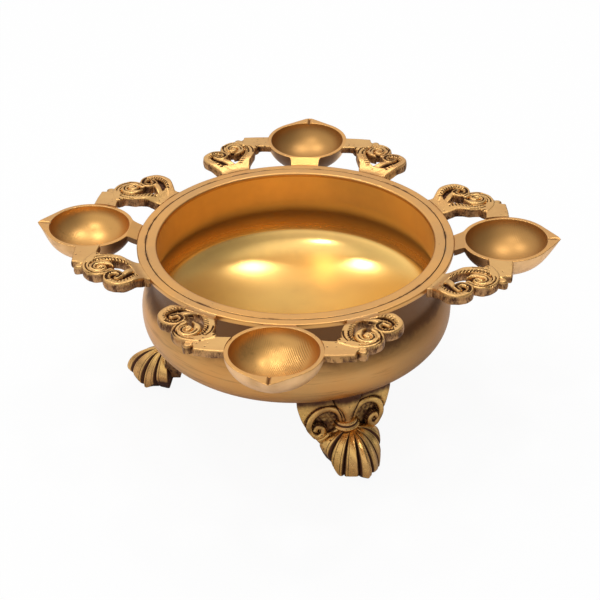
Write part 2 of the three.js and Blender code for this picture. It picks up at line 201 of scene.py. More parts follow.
def waves(x, y, scale, seed):
    """A smooth uneven field between about -1 and 1: a sum of sines in seeded directions."""
    rng = np.random.default_rng(seed)
    total = np.zeros(np.broadcast(x, y).shape)
    for turn, shift in zip(rng.uniform(0, 2 * np.pi, 7), rng.uniform(0, 6.3, 7)):
        size = scale * (0.6 + 0.9 * abs(math.sin(3 * shift)))
        total += np.sin((x * math.cos(turn) + y * math.sin(turn)) * 2 * np.pi / size + shift)
    return total / 4.2


class Along:
    """Where grid points lie beside a line: nearest distance, share of its length, and side."""

    def __init__(self, x, y, line):
        start, step = line[:-1], np.diff(line, axis=0)
        size = (step ** 2).sum(1)
        px = x.ravel()[:, None] - start[:, 0]
        py = y.ravel()[:, None] - start[:, 1]
        t = np.clip((px * step[:, 0] + py * step[:, 1]) / size, 0, 1)
        gap = np.hypot(px - t * step[:, 0], py - t * step[:, 1])
        near = gap.argmin(1)
        row = np.arange(len(near))
        self.distance = gap[row, near].reshape(x.shape)
        self.share = ((near + t[row, near]) / len(step)).reshape(x.shape)
        cross = step[near, 0] * py[row, near] - step[near, 1] * px[row, near]
        self.side = np.sign(cross).reshape(x.shape)
        self.length = np.sqrt(size).sum()

    def inside(self, start_width, end_width):
        """Distance inside a band along the line, whose width tapers from end to end."""
        return (start_width + (end_width - start_width) * self.share) / 2 - self.distance


def inside_polygon(x, y, corners):
    """Distance to a polygon's edge, positive inside: even-odd crossings give the sign."""
    c = np.asarray(corners, float)
    gap = Along(x, y, np.vstack([c, c[:1]])).distance
    a, b = c, np.roll(c, -1, axis=0)
    px, py = x.ravel()[:, None], y.ravel()[:, None]
    spans = (a[:, 1] > py) != (b[:, 1] > py)
    rise = np.where(b[:, 1] == a[:, 1], 1e-9, b[:, 1] - a[:, 1])
    cuts = px < (b[:, 0] - a[:, 0]) * (py - a[:, 1]) / rise + a[:, 0]
    odd = (spans & cuts).sum(1) % 2 == 1
    return np.where(odd.reshape(x.shape), gap, -gap)


def inside_oval(x, y, cx, cy, rx, ry, turn=0.0):
    """Roughly the distance inside a turned ellipse: 1 less the scaled radius, times the short half."""
    u = (x - cx) * math.cos(turn) + (y - cy) * math.sin(turn)
    v = -(x - cx) * math.sin(turn) + (y - cy) * math.cos(turn)
    return (1 - np.hypot(u / rx, v / ry)) * min(rx, ry)


def worn_edge(inside, top, round_width):
    """Height of a flat piece whose top edge is worn to a quarter circle, and nothing outside it."""
    near = np.clip(1 - inside / round_width, 0, 1)
    return np.where(inside > -0.3, top - round_width * (1 - np.sqrt(1 - near ** 2)), -1e3)


# Meshes

class Surface:
    """A grid of points whose rows close on themselves, with darkening (patina and painted shade) and a plan
    place at each point.
    """

    def __init__(self, points, recess=0.0, material=0):
        self.points = np.asarray(points, float)
        shape = self.points.shape[:2]
        self.recess = np.broadcast_to(recess, shape).astype(float)
        self.plan = self.points[..., :2]
        rows, columns = shape
        r = np.arange(rows - 1)[:, None]
        c = np.arange(columns)[None, :]
        right = (c + 1) % columns
        corners = r * columns + c, r * columns + right, (r + 1) * columns + right, (r + 1) * columns + c
        self.faces = np.stack(corners, -1).reshape(-1, 4)
        self.material = np.broadcast_to(material, (rows - 1, columns)).reshape(-1)

    def flat(self):
        """Points, faces, darkening (patina and painted shade), plan places and material numbers, one row
        each.
        """
        points, plan = self.points.reshape(-1, 3), self.plan.reshape(-1, 2)
        return points, self.faces, self.recess.ravel(), plan, self.material


class Plate:
    """A flat piece whose plan is where a field is positive, with a lifted face.

    The plan is a grid of square cells. Corners outside are moved on to the outline along
    the field's slope, the face and back take every kept cell, and each cell edge without
    a neighbour is carried from face to back as the side wall, which may bulge by a sine and
    be rough.
    """

    def __init__(self, x, y, inside, face, back, recess, wall_rows, rough, crown=0.0):
        gy, gx = np.gradient(inside, y[:, 0], x[0])
        kept = (inside[:-1, :-1] > 0) | (inside[1:, :-1] > 0) | (inside[:-1, 1:] > 0) | (inside[1:, 1:] > 0)
        out = np.minimum(inside, 0)
        slope = np.maximum(gx ** 2 + gy ** 2, 0.2)
        move_x, move_y = -out * gx / slope, -out * gy / slope
        px, py = x + np.clip(move_x, -1, 1), y + np.clip(move_y, -1, 1)
        rows, columns = x.shape
        number = np.arange(rows * columns).reshape(rows, columns)
        corners = np.stack([number[:-1, :-1], number[:-1, 1:], number[1:, 1:], number[1:, :-1]], -1)[kept]
        edges = self.open_edges(kept, number)
        used = np.unique(corners)
        place = np.full(rows * columns, -1)
        place[used] = np.arange(len(used))

        def flat(field):
            return np.broadcast_to(field, x.shape).ravel()[used]

        top = np.stack([flat(px), flat(py), flat(face)], 1)
        low = np.stack([flat(px), flat(py), flat(back)], 1)
        count = len(used)
        rim = np.unique(place[edges])
        ring = np.full(count, -1)
        ring[rim] = np.arange(len(rim))
        levels = np.linspace(0, 1, wall_rows + 1)[1:-1]
        normal = -np.stack([flat(gx), flat(gy)], 1)[rim]
        normal /= np.maximum(np.linalg.norm(normal, axis=1), 1e-6)[:, None]
        walls = []
        for k, level in enumerate(levels):
            uneven = rough * waves(top[rim, 0], top[rim, 1] + 9 * k, 2.3, k)
            bulge = crown * math.sin(math.pi * level) + uneven
            point = top[rim] * (1 - level) + low[rim] * level
            point[:, :2] += normal * bulge[:, None]
            walls.append(point)
        self.points = np.vstack([top, low, *walls])
        starts = [0] + [2 * count + k * len(rim) for k in range(len(levels))] + [count]
        last = len(starts) - 1
        a, b = place[edges[:, 0]], place[edges[:, 1]]

        def at(k, e):
            return e + starts[k] if k in (0, last) else ring[e] + starts[k]

        sides = [np.stack([at(k, b), at(k, a), at(k + 1, a), at(k + 1, b)], 1) for k in range(last)]
        quads = place[corners]
        self.faces = np.vstack([quads, quads[:, ::-1] + count, *sides])
        side_count = len(sides) * len(edges)
        self.material = np.r_[np.zeros(len(quads), int), np.ones(len(quads) + side_count, int)]
        self.recess = np.r_[flat(recess), np.full(count, 0.6), np.full(len(levels) * len(rim), 0.7)]
        self.plan = self.points[:, :2].copy()

    @staticmethod
    def open_edges(kept, number):
        """Cell edges with a kept cell on one side only, each running anticlockwise."""
        padded = np.pad(kept, 1)
        here = padded[1:-1, 1:-1]
        below = here & ~padded[:-2, 1:-1]
        above = here & ~padded[2:, 1:-1]
        left = here & ~padded[1:-1, :-2]
        right = here & ~padded[1:-1, 2:]
        return np.vstack([
            np.stack([number[:-1, :-1][below], number[:-1, 1:][below]], 1),
            np.stack([number[1:, 1:][above], number[1:, :-1][above]], 1),
            np.stack([number[1:, :-1][left], number[:-1, :-1][left]], 1),
            np.stack([number[:-1, 1:][right], number[1:, 1:][right]], 1),
        ])

    def flat(self):
        """Points, faces, darkening (patina and painted shade), plan places and material numbers, one row
        each.
        """
        return self.points, self.faces, self.recess, self.plan, self.material


def turned(points, degrees, mirror=False):
    """Points mirrored across the X axis if asked, then turned about the Z axis."""
    p = np.array(points, float)
    if mirror:
        p[:, 1] *= -1
    a = math.radians(degrees)
    x, y = p[:, 0].copy(), p[:, 1].copy()
    p[:, 0], p[:, 1] = x * math.cos(a) - y * math.sin(a), x * math.sin(a) + y * math.cos(a)
    return p


def make_piece(name, parts, materials, replaced, degrees=0.0, mirror=False, sharp=38):
    """Joins surfaces into one closed mesh at the origin that stands for the replaced nodes.

    Edges that turn by more than the sharp angle, in degrees, stay crisp.
    """
    sets = [part.flat() for part in parts]
    starts = np.cumsum([0] + [len(one[0]) for one in sets])
    faces = np.vstack([one[1] + start for one, start in zip(sets, starts)])
    # patina holds the recess values: patina in hollows, and painted shade on some pieces
    points, patina, plan, numbers = (np.concatenate([one[k] for one in sets]) for k in (0, 2, 3, 4))
    points, decimetres = turned(points, degrees, mirror) * MM, plan * 0.01
    mesh = bpy.data.meshes.new(name)
    mesh.vertices.add(len(points))
    mesh.vertices.foreach_set("co", points.astype(np.float32).ravel())
    mesh.loops.add(faces.size)
    mesh.loops.foreach_set("vertex_index", faces.astype(np.int32).ravel())
    mesh.polygons.add(len(faces))
    mesh.polygons.foreach_set("loop_start", np.arange(0, faces.size, 4, dtype=np.int32))
    mesh.polygons.foreach_set("material_index", numbers.astype(np.int32))
    recess = mesh.attributes.new("recess", "FLOAT", "POINT")
    recess.data.foreach_set("value", patina.astype(np.float32))
    layer = mesh.uv_layers.new(name="plan")
    layer.data.foreach_set("uv", decimetres[faces.ravel()].astype(np.float32).ravel())
    mesh.update(calc_edges=True)
    close_mesh(mesh)
    mesh.polygons.foreach_set("use_smooth", np.ones(len(mesh.polygons), bool))
    mesh.set_sharp_from_angle(angle=math.radians(sharp))
    for material in materials:
        mesh.materials.append(material)
    piece = bpy.data.objects.new(name, mesh)
    bpy.context.scene.collection.objects.link(piece)
    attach(piece, "root")
    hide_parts(*replaced)


def close_mesh(mesh):
    """Merges poles and seams, and turns all the faces outwards."""
    work = bmesh.new()
    work.from_mesh(mesh)
    bmesh.ops.remove_doubles(work, verts=work.verts, dist=2e-6)
    bmesh.ops.recalc_face_normals(work, faces=work.faces)
    work.to_mesh(mesh)
    work.free()


# The bowl and its ring

def belly_line(radius, top, depth, count, squareness=BELLY_POWER):
    """A quarter of a superellipse, from the middle of the base to the widest place."""
    a = np.linspace(0, np.pi / 2, count)
    power = 2 / squareness
    return np.stack([radius * np.sin(a) ** power, top - depth * np.cos(a) ** power], 1)


def shoulder_line(radius, neck, low, height, count):
    """The part of an ellipse that leads from the belly's widest place in to the neck."""
    reach = height / math.sqrt(1 - (neck / radius) ** 2)
    z = np.linspace(0, height, count)
    return np.stack([radius * np.sqrt(1 - (z / reach) ** 2), low + z], 1)


def bent(a, corner, b, count=8):
    """A corner rounded by a parabola from point a to point b."""
    a, corner, b = map(np.asarray, (a, corner, b))
    t = np.linspace(0, 1, count)[:, None]
    return (1 - t) ** 2 * a + 2 * t * (1 - t) * corner + t ** 2 * b


def carried_round(profile, steps, wobble=0.0, seed=1):
    """Carries a profile of radius and height once round the Z axis, with a slight wobble."""
    angle = np.linspace(0, 2 * np.pi, steps, endpoint=False)[None, :]
    r, z = profile[:, :1], profile[:, 1:]
    r = r + wobble * waves(np.cos(angle) * 60, np.sin(angle) * 60, 9.0, seed) * np.minimum(r / 10, 1)
    return np.stack([r * np.cos(angle), r * np.sin(angle), np.broadcast_to(z, (len(profile), steps))], -1)


def bowl_profile(s):
    """The bowl's section from the base up its outside, over the lip and down its inside.

    With it comes each row's zone: 0 outside, 1 on the faced rim, 2 inside.
    """
    belly, mouth, wall = s.belly_radius / MM, s.mouth_radius / MM, s.wall / MM
    base, rim, flange = s.base_height / MM, s.rim_height / MM, s.flange_radius / MM
    widest, shoulder = base + BELLY_RISE, base + (BELLY_RISE + SHOULDER_RISE)
    neck, under = mouth + wall, rim - s.flange_thickness / MM
    outer_shoulder = shoulder_line(belly, neck, widest, SHOULDER_RISE, 40)
    outer = np.vstack([
        belly_line(belly, widest, BELLY_RISE, 90),
        outer_shoulder[1:34],
        bent(outer_shoulder[34], (neck, shoulder), (neck, shoulder + 3.5)),
        bent((neck, under - 1.8), (neck, under), (neck + 1.6, under)),
        bent((flange - 0.5, under), (flange, under), (flange, under + 0.5), 4),
    ])
    top = np.vstack([
        bent((flange, rim - 0.4), (flange, rim), (flange - 0.4, rim), 5),
        np.stack([np.linspace(flange - 1, mouth + 1.7, 8), np.full(8, rim)], 1),
        bent((mouth + 1.4, rim), (mouth, rim), (mouth, rim - 1.4), 8),
    ])
    inner_shoulder = shoulder_line(belly - wall, mouth, widest, SHOULDER_RISE, 40)[::-1]
    hollow = belly_line(belly - wall, widest, BELLY_RISE - wall, 90, squareness=2.2)[::-1]
    inner = np.vstack([
        np.stack([np.full(12, mouth), np.linspace(rim - 2.4, shoulder + 8, 12)], 1),
        bent((mouth, shoulder + 7), (mouth, shoulder), inner_shoulder[14], 16),
        inner_shoulder[15:],
        hollow[1:],
    ])
    zones = np.r_[np.zeros(len(outer), int), np.ones(len(top), int), np.full(len(inner) - 1, 2)]
    return np.vstack([outer, top, inner]), zones


def ring_profile(s):
    """The ring's section: a bar with rounds outside and a thin fill of braze low on its inside."""
    low_r, high_r = s.flange_radius / MM + SEAM, s.ring_radius / MM
    braze = low_r - 0.24
    top, bottom = s.rim_height / MM, (s.rim_height - s.ring_thickness) / MM
    return np.vstack([
        bent((low_r, top - 0.4), (low_r, top), (low_r + 0.4, top), 5),
        np.stack([np.linspace(low_r + 1, high_r - 1.3, 5), np.full(5, top)], 1),
        bent((high_r - 0.9, top), (high_r, top), (high_r, top - 0.9), 7),
        bent((high_r, bottom + 1.5), (high_r, bottom), (high_r - 2.4, bottom), 9),
        np.array([[braze, bottom], [braze, top - 1.1], [low_r, top - 0.9], [low_r, top - 0.4]]),
    ])


# The lamp cups

def leaf_outline(angle, radius, spout):
    """A circle whose tangents meet in a spout on the +X side, with the point a little blunt."""
    tip = radius + spout
    tangent = math.acos(radius / tip)
    away = np.abs(np.arctan2(np.sin(angle), np.cos(angle)))
    edge = np.where(away < tangent, radius / np.cos(np.minimum(tangent - away, 1.3)), radius)
    return edge - 0.6 * np.exp(-(away / 0.05) ** 2)


def neck_outline(angle, half, centre, ring):
    """The neck's plan seen from the cup's middle: a strip that ends on the ring's edge."""
    off = np.abs(np.pi - np.abs(angle))
    side = half / np.maximum(np.sin(np.minimum(off, np.pi / 2)), 1e-3)
    end = centre * np.cos(off) - np.sqrt(np.maximum(ring ** 2 - (centre * np.sin(off)) ** 2, 0))
    return np.where(off < 1.2, np.minimum(side, np.where(off < 0.7, end, 99)), 0)


def all_round(rows):
    """Sets of rows one above the other, each carried across all the points round a cup."""
    return np.vstack([np.broadcast_to(row, (len(row), CUP_STEPS)) for row in rows])


def cup_points(s, ring):
    """A cup round its own middle: hull, neck, flat rim with its wick cut, and hollow.

    Returned with it are each point's darkening, patina in the wick's cut and painted shade on the hull, and
    each row's zone: 0 hull, 1 rim, 2 hollow.
    """
    opening, depth = s.opening / MM, s.depth / MM
    outer = opening + s.wall / MM
    angle = np.linspace(-np.pi, np.pi, CUP_STEPS, endpoint=False)[None, :]
    leaf = leaf_outline(angle, outer, s.spout / MM)
    neck = neck_outline(angle, s.neck_width / MM / 2, s.centre / MM, ring)
    plan = np.where(neck > outer - 9, smooth_max(leaf, neck, 4.5), leaf)
    necked = ease((plan - leaf) / 1.5)
    quarter = np.pi / 2

    def hull(t):
        """A quarter ellipse from the bottom, drawn out to the leaf's edge by the cube of its share."""
        radius = (outer + (leaf - outer) * t ** 3) * np.sin(quarter * t)
        return radius, -(depth + s.floor / MM) * np.cos(quarter * t)

    # Shares of the quarter at which the neck leaves the hull, and at which the rim's rounds start
    low, high = 0.87, 0.985
    t = np.linspace(0, low, 40)[:, None]
    hull_r, hull_z = hull(t)
    step = np.linspace(0, 1, 16)[1:, None]
    wall_r, wall_z = hull(low + (high - low) * step)
    edge_r, edge_z = hull(np.full((1, 1), low))
    out = ease(step * 2)
    neck_r = edge_r + (plan - edge_r) * out
    neck_z = edge_z + (-LIP_ROUND - edge_z) * np.clip(step * 2 - 1, 0, 1)
    side_r = wall_r + (neck_r - wall_r) * necked
    side_z = wall_z + (neck_z - wall_z) * necked
    arc = np.linspace(0, quarter, 5)[:, None]
    edge = plan - LIP_ROUND * (1 - np.cos(arc))
    flat = np.linspace(0, 1, 26)[1:, None]
    rim = (plan - LIP_ROUND) + (opening + LIP_ROUND - plan + LIP_ROUND) * flat
    lip = opening + LIP_ROUND * (1 - np.sin(arc[1:]))
    inner = np.linspace(high, 0, 46)[:, None]
    r = all_round([hull_r, side_r, edge, rim, lip, opening * np.sin(quarter * inner)])
    round_z, lip_z = -LIP_ROUND * (1 - np.sin(arc)), -LIP_ROUND * (1 - np.cos(arc[1:]))
    z = all_round([hull_z, side_z, round_z, 0 * rim, lip_z, -depth * np.cos(quarter * inner)])
    x, y = r * np.cos(angle), r * np.sin(angle)
    cut = wick_cut(x, y, z, opening, outer + s.spout / MM)
    row = np.arange(len(r) - 1)
    first_rim = len(t) + len(step) + 1
    # film is painted shade: the hull darkens on its side towards the bowl, below the rim
    film = 0.85 * ease((-np.cos(angle) - 0.25) / 0.5) * (np.arange(len(r)) < first_rim)[:, None]
    zones = (row >= first_rim).astype(int) + (row >= first_rim + len(arc) + len(flat) + 1)
    return np.stack([x, y, z - cut], -1), np.maximum(0.9 * ease((cut - 0.25) / 0.6), film), zones


def wick_cut(x, y, z, opening, tip):
    """Depth of the V that holds the wick, from the opening's edge to near the spout's tip."""
    half, deep = 1.1, 1.1
    across = np.clip(1 - np.abs(y) / half, 0, 1)
    along = ease((x - opening + 0.6) / 1.0) * ease((tip - x) / 3.0)
    return deep * across * along * (z > -1.2)


def place_cup(points, s, rim):
    """Tilts a cup so that its spout points up, lets its neck down to the ring, and moves it out."""
    p = points.reshape(-1, 3).copy()
    tilt, centre, lift = s.tilt, s.centre / MM, s.lift / MM
    x = p[:, 0] * math.cos(tilt) - p[:, 2] * math.sin(tilt)
    z = p[:, 0] * math.sin(tilt) + p[:, 2] * math.cos(tilt)
    outer = (s.opening + s.wall) / MM
    neck_end = 92.1
    fall = lift - (centre - neck_end) * math.sin(tilt)
    z = z - fall * np.clip((-p[:, 0] - outer + 2.2) / 5.8, 0, 1) * (p[:, 2] > -6)
    return np.stack([x + centre, p[:, 1], z + rim + lift], 1).reshape(points.shape)


# The scroll brackets

# Lines of a bracket in mm: how far out beyond the ring's edge, and sideways beyond the cup's edge
RING_VOLUTE = [
    (-12.5, 16), (-10.4, 25), (-6.2, 33.1), (0.4, 36.8), (6.6, 33.4), (7.4, 27.8), (3.4, 25.3), (0, 28),
    (1.6, 31.2)]
OUTER_VOLUTE = [(18.2, 8), (21, 13.6), (21.4, 19.4), (19.2, 24.6), (14.6, 27.4), (9.6, 26.4), (6.8, 23.8)]
CURL = [
    (6.2, 19.4), (8.8, 17), (13, 16), (16.8, 17.9), (17.4, 21.6), (15, 24), (12, 23.6), (10.8, 21.6),
    (12.2, 19.9), (14, 21.1)]
ARM = [(-9, 17), (-2.5, 13.4), (5, 10.8), (12, 9.9), (19, 12)]
ROOT = [(-16, 14), (-9, 8.6), (-0.5, 9.4), (-0.6, 13), (-3.6, 17), (-6, 21.5), (-8.2, 27), (-17, 25)]
TONGUE = [(-8, 15), (-4.6, 20.5), (-1.6, 26), (0.6, 30)]


def bracket_grid(ring, cup, cell):
    """The plan's grid, and a function that turns [out, sideways] sketch points into its places."""
    x, y = np.meshgrid(np.arange(ring - 17, ring + 36, cell), np.arange(cup - 5, cup + 41, cell))

    def at(points):
        return np.asarray(points, float) + (ring, cup)

    return x, y, at


def feather(band, pitch, slant, reach):
    """Grooves that run slantwise from a band's middle line to one edge, like a feather's barbs."""
    run = band.share * band.length + slant * band.distance
    stroke = np.abs((run / pitch) % 1 - 0.5) * 2
    return np.clip((0.5 - stroke) / 0.3, 0, 1) * ease(band.distance / reach)


def spiral_fan(x, y, middle, arms, slope):
    """Grooves on equiangular spirals round a middle: ln(r) falls evenly with the angle."""
    dx, dy = x - middle[0], y - middle[1]
    run = (np.log(np.hypot(dx, dy) + 0.1) / slope + np.arctan2(dy, dx)) * arms / (2 * np.pi)
    return np.clip((0.34 - np.abs(run % 1 - 0.5) * 2) / 0.24, 0, 1)


def scratched_line(distance, width):
    """1 along the middle of a line, falling to 0 at half its width."""
    return np.clip(1.4 - 2.8 * np.abs(distance) / width, 0, 1)


def tapered(band, tip, widest, end):
    """Distance inside a band that swells from a pointed tip and narrows again to its end."""
    width = tip + (widest - tip) * ease(band.share / 0.22) + (end - widest) * band.share
    return width / 2 - band.distance


def bracket_relief(s, ring, cup, centre):
    """Plan and height fields of one bracket: bands, curls, ear and leaf over a chased hollow.

    The plan is the largest of the parts' distances inside, cut to the ring's and the cup's circles.
    """
    x, y, at = bracket_grid(ring, cup, s.cell / MM)
    arm, near = Along(x, y, soft_curve(at(ARM), 90)), Along(x, y, soft_curve(at(RING_VOLUTE), 160))
    far, curl = Along(x, y, soft_curve(at(OUTER_VOLUTE), 110)), Along(x, y, soft_curve(at(CURL), 130))
    tongue = Along(x, y, soft_curve(at(TONGUE), 60))
    root = inside_polygon(x, y, at(ROOT))
    ear = ear_plan(x, y, ring, cup)
    leaf = inside_oval(x, y, ring + 24.2, cup + 18.2, 4.6, 2.8, 0.5)
    arm_in, near_in, far_in = arm.inside(5.8, 5.8), near.inside(5.5, 3.2), far.inside(5.5, 3.4)
    curl_in, tongue_in = tapered(curl, 1.0, 4.4, 2.6), tongue.inside(4.2, 3.2)
    solid_root = smooth_max(smooth_max(root, arm_in, 1.5), np.minimum(near_in, 5 - 30 * near.share), 1.5)
    near_hollow = inside_oval(x, y, *at((0.5, 28.5)), 9, 8.6)
    far_hollow = inside_oval(x, y, *at((13.8, 19.4)), 8.2, 8.2)
    long_hole = inside_oval(x, y, *at((3.6, 20.6)), 4.6, 5.6)
    round_hole = inside_oval(x, y, *at((7.5, 16.6)), 4.4, 3.2)
    hole = smooth_max(long_hole, round_hole, 1)
    hollow = np.minimum(np.maximum(near_hollow, far_hollow), -hole)
    high = np.maximum.reduce([
        worn_edge(solid_root, 0, 0.6), worn_edge(near_in, 0.15, 0.8), worn_edge(far_in, 0.05, 0.7),
        worn_edge(curl_in, 0.25, 1.0), worn_edge(tongue_in, -0.35, 0.9), worn_edge(ear, -0.3, 0.7),
        worn_edge(leaf, -0.8, 1.2),
    ])
    floor = -s.recess / MM + 0.35 * waves(x, y, 2.2, 7)
    strokes = bracket_strokes(arm, near, far, curl, arm_in, near_in, far_in, ear, x, y, at((13.2, 20.6)))
    face = np.maximum(high, floor) - strokes * (high > floor)
    inside = np.maximum.reduce([solid_root, near_in, far_in, curl_in, tongue_in, ear, leaf, hollow])
    inside = np.minimum(inside, np.hypot(x, y) - ring + 0.12)
    inside = np.minimum(inside, np.hypot(x - centre, y) - cup + 0.2)
    recess = np.clip(np.maximum(-face / 1.6 - 0.3, strokes), 0, 1) * ease((inside + 0.1) / 0.5)
    only_ear = ear - np.maximum.reduce([solid_root, near_in, far_in, curl_in, tongue_in, leaf, hollow])
    return x, y, inside, face, recess, ease(only_ear / 0.6)


def ear_plan(x, y, ring, cup):
    """The flat ear beside the cup: a strip whose outer end is scalloped like a petal."""
    middle, half, end = ring + 25.2, 6.9, cup + 17.4
    scallop = 0.9 * np.abs(np.sin((x - middle) * np.pi / 5.0))
    sides = half - np.abs(x - middle) - 0.06 * (y - cup)
    tip = end - scallop - y - 0.05 * (x - middle) ** 2
    return np.minimum(sides, tip) + 0.3 * waves(x, y, 11, 4)


def bracket_strokes(arm, near, far, curl, arm_in, near_in, far_in, ear, x, y, middle):
    """Chisel marks: barbs on the arm, ticks on the ring volute, a fan and a line on the whorl."""
    clear = ear < -0.4
    barbs = feather(arm, 2.15, 0.9, 0.7) * (arm.side > 0) * (arm_in > 0.2)
    barbs = barbs * ease((arm.share - 0.18) / 0.08) * clear
    ticks = feather(near, 2.1, 0.5, 1.0) * (near.side < 0) * (near_in > 0.2)
    ticks = ticks * (near.share > 0.2) * (near.share < 0.8)
    fan = spiral_fan(x, y, middle, 6, 0.24) * (np.maximum(far_in, arm_in) > 0.2) * clear
    fan = fan * ease((np.hypot(x - middle[0], y - middle[1]) - 5.8) / 0.8) * (x > middle[0] - 4)
    line = scratched_line(curl.distance - 0.1, 0.8) * ease((curl.share - 0.2) / 0.1) * (curl.share < 0.86)
    lines = scratched_line(near.distance - 0.4, 0.9) * (near.share > 0.62) * (near_in > 0)
    whorl = scratched_line(far.distance + 0.2 * far.side, 0.8) * (far.share > 0.45) * (far_in > 0)
    return np.maximum.reduce([barbs, 0.9 * ticks, fan, 0.8 * line, lines, whorl])


def bracket_plate(s, ring, cup, centre, rim):
    """The bracket's solid plate, let down to the ring's level at its root."""
    x, y, inside, face, recess, thin = bracket_relief(s, ring, cup, centre)
    lift, thick = s.lift / MM, s.thickness / MM
    top = rim + lift - lift * (1 - ease((np.hypot(x, y) - ring) / (s.rise / MM)))
    back = top - thick + (thick - s.ear / MM) * thin + 0.3 * waves(x, y, 8, 11)
    return Plate(x, y, inside, top + face, back, recess, wall_rows=7, rough=0.1, crown=0.25)


# The feet

# Lines of a foot in mm: how far sideways from its middle, and how high above the ground
SHIELD = [(28.5, 56), (28.5, 43), (27.4, 36), (24.8, 28), (20, 20), (14.8, 12), (9.7, 5), (5.1, 2)]
FOOT_VOLUTE = [
    (-3.4, 29.5), (-5.6, 35.2), (-10, 38.4), (-15.4, 37.6), (-19.8, 33.6), (-21.8, 27.6), (-20.8, 22.2),
    (-17.4, 19.4), (-14.2, 21.2), (-14.2, 25), (-17, 26.8), (-18.4, 24.6)]


def foot_relief(s):
    """Fields of a foot's face over sideways and height: border, volutes, hollows and tongue."""
    cell = 0.36
    x, y = np.meshgrid(np.arange(-31, 31, cell), np.arange(0.5, 54, cell))
    edge = soft_curve(SHIELD, 60)
    shield = inside_polygon(x, y, np.vstack([edge, (edge * (-1, 1))[::-1]]))
    side = np.abs(x)
    volute = Along(side, y, soft_curve(FOOT_VOLUTE, 200) * (-1, 1))
    band = volute.inside(3.6, 3.2) + 0.35 * np.sin(np.pi * volute.share)
    hollow = inside_oval(side, y, 12.4, 28.8, 7.2, 8.8, -0.2)
    border = np.minimum(shield, -smooth_max(hollow, band, 0.6) - 0.4)
    tongue = 3.4 + 5.4 * ease((y - 29) / 17) - side
    relief = s.relief / MM
    over = np.clip(tongue / 3.6, 0, 1)
    high = np.maximum.reduce([
        worn_edge(np.maximum(border, np.minimum(shield, 0.6 * (y - 40))), relief * 0.62, 1.2),
        worn_edge(band, relief * (0.75 + 0.2 * volute.share), 1.5),
        np.where(tongue > 0, (relief + 0.6) * np.sqrt(over * (2 - over)), -9) * (y > 24),
    ])
    line = scratched_line(band - 0.1, 0.7) * (y < 42) + scratched_line(tongue - 0.2, 0.8) * (y > 24)
    crossing = ((x + 2.2 * y + 3 * waves(x, y, 30, 2)) % 7) - 3.5
    scratches = scratched_line(crossing, 0.7) * (border > 1.5) * (waves(x, y, 9, 8) > 0.25)
    rib = np.clip(line + 0.5 * scratches, 0, 1)
    # film is cloudy tarnish, and painted shade that darkens the shield towards its top, where it meets the
    # belly
    film = np.maximum(0.24 + 0.14 * waves(x, y, 14, 5), 0.6 * ease((y - 35) / 10))
    face = np.maximum(high, 0.3 * waves(x, y, 2.0, 3)) - 0.6 * rib
    beside = 0.45 + 0.55 * np.exp(np.maximum.reduce([border, band, tongue]) / 0.7)
    deep = (1 - face / (relief * 0.42)) * np.minimum(beside, 1)
    recess = np.clip(np.maximum.reduce([deep, rib, film]), 0, 1)
    return x, y, shield, face, recess


def wrapped(points, s, base):
    """Sketch points [sideways, height, out] wrapped round the bowl's axis, leaning in below."""
    side, z, out = points[:, 0], points[:, 1], points[:, 2]
    radius = s.radius / MM + out - s.lean / MM * (1 - z / (base + 9))
    turn = side / (s.radius / MM)
    return np.stack([radius * np.cos(turn), radius * np.sin(turn), z], 1)


def below_belly(points, belly, base):
    """Keeps points under the belly by letting them down on to its outside."""
    r = np.minimum(np.hypot(points[:, 0], points[:, 1]), belly)
    share = (1 - (r / belly) ** BELLY_POWER) ** (1 / BELLY_POWER)
    under = base + BELLY_RISE - BELLY_RISE * share
    points[:, 2] = np.minimum(points[:, 2], under + 0.25)
    return points


def shell_surface(s):
    """A domed fan of lobes: quarter ellipses from the crest to a scalloped rim, on a flat sole."""
    reach, half, crest = s.shell_length / MM, s.shell_half_width / MM, s.shell_crest / MM
    toe, shoulder = (reach, 0), (reach * 0.7, half * 0.47)
    flank, heel = (reach * 0.31, half * 0.83), (-reach * 0.17, half * 1.06)
    line = soft_curve([toe, shoulder, flank, heel], 120)
    rim = np.vstack([(line * (1, -1))[:0:-1], line])
    share = np.linspace(-1, 1, len(rim))[None, :]
    direction, far = np.arctan2(rim[:, 1], rim[:, 0])[None, :], np.hypot(*rim.T)[None, :]
    lobe = share * s.flutes / 2
    wave = np.abs(np.cos(np.pi * lobe))
    groove = (1 - wave) ** 3.6
    fine = np.clip(1 - np.abs(wave - 0.78) / 0.08, 0, 1) * (np.sin(11 * lobe + 1) > -0.2)
    away = np.minimum(np.abs(direction), np.pi / 2)
    lift = np.where(away < np.pi / 4, s.toe_lift, s.flank_lift) / MM
    low = lift * np.abs(np.cos(2 * away)) ** 1.5
    t = np.linspace(0, 1, 90)[:, None]
    groove_depth = 0.095
    swell = 1 - groove_depth * groove * ease(t * 1.6) - 0.012 * fine * ease(t * 2 - 0.3)
    lip = 1 - 0.5 * ease((t - 0.93) / 0.07) * 0.03
    down = np.cos(np.pi / 2 * t) * swell
    z = low + (crest - low) * down
    r = far * np.sin(np.pi / 2 * t) * swell * lip
    sole = np.linspace(1, 0, 12)[1:, None]
    r = np.vstack([r, far * (1 - groove_depth * groove) * 0.985 * sole])
    z = np.vstack([z, low * np.clip((sole - 0.6) / 0.4, 0, 1) ** 2])
    middle = s.radius / MM + 2
    side = s.shell_shift / MM + r * np.sin(direction)
    points = np.stack([middle + r * np.cos(direction), side, z + 0 * direction], -1)
    dark = np.clip(groove * 1.5 + 0.5 * (1 - wave) ** 1.3 - 0.05 + 0.7 * fine, 0, 1) * ease(t * 3 - 0.2)
    return points, np.vstack([dark, np.full((len(sole), len(rim)), 0.7)])


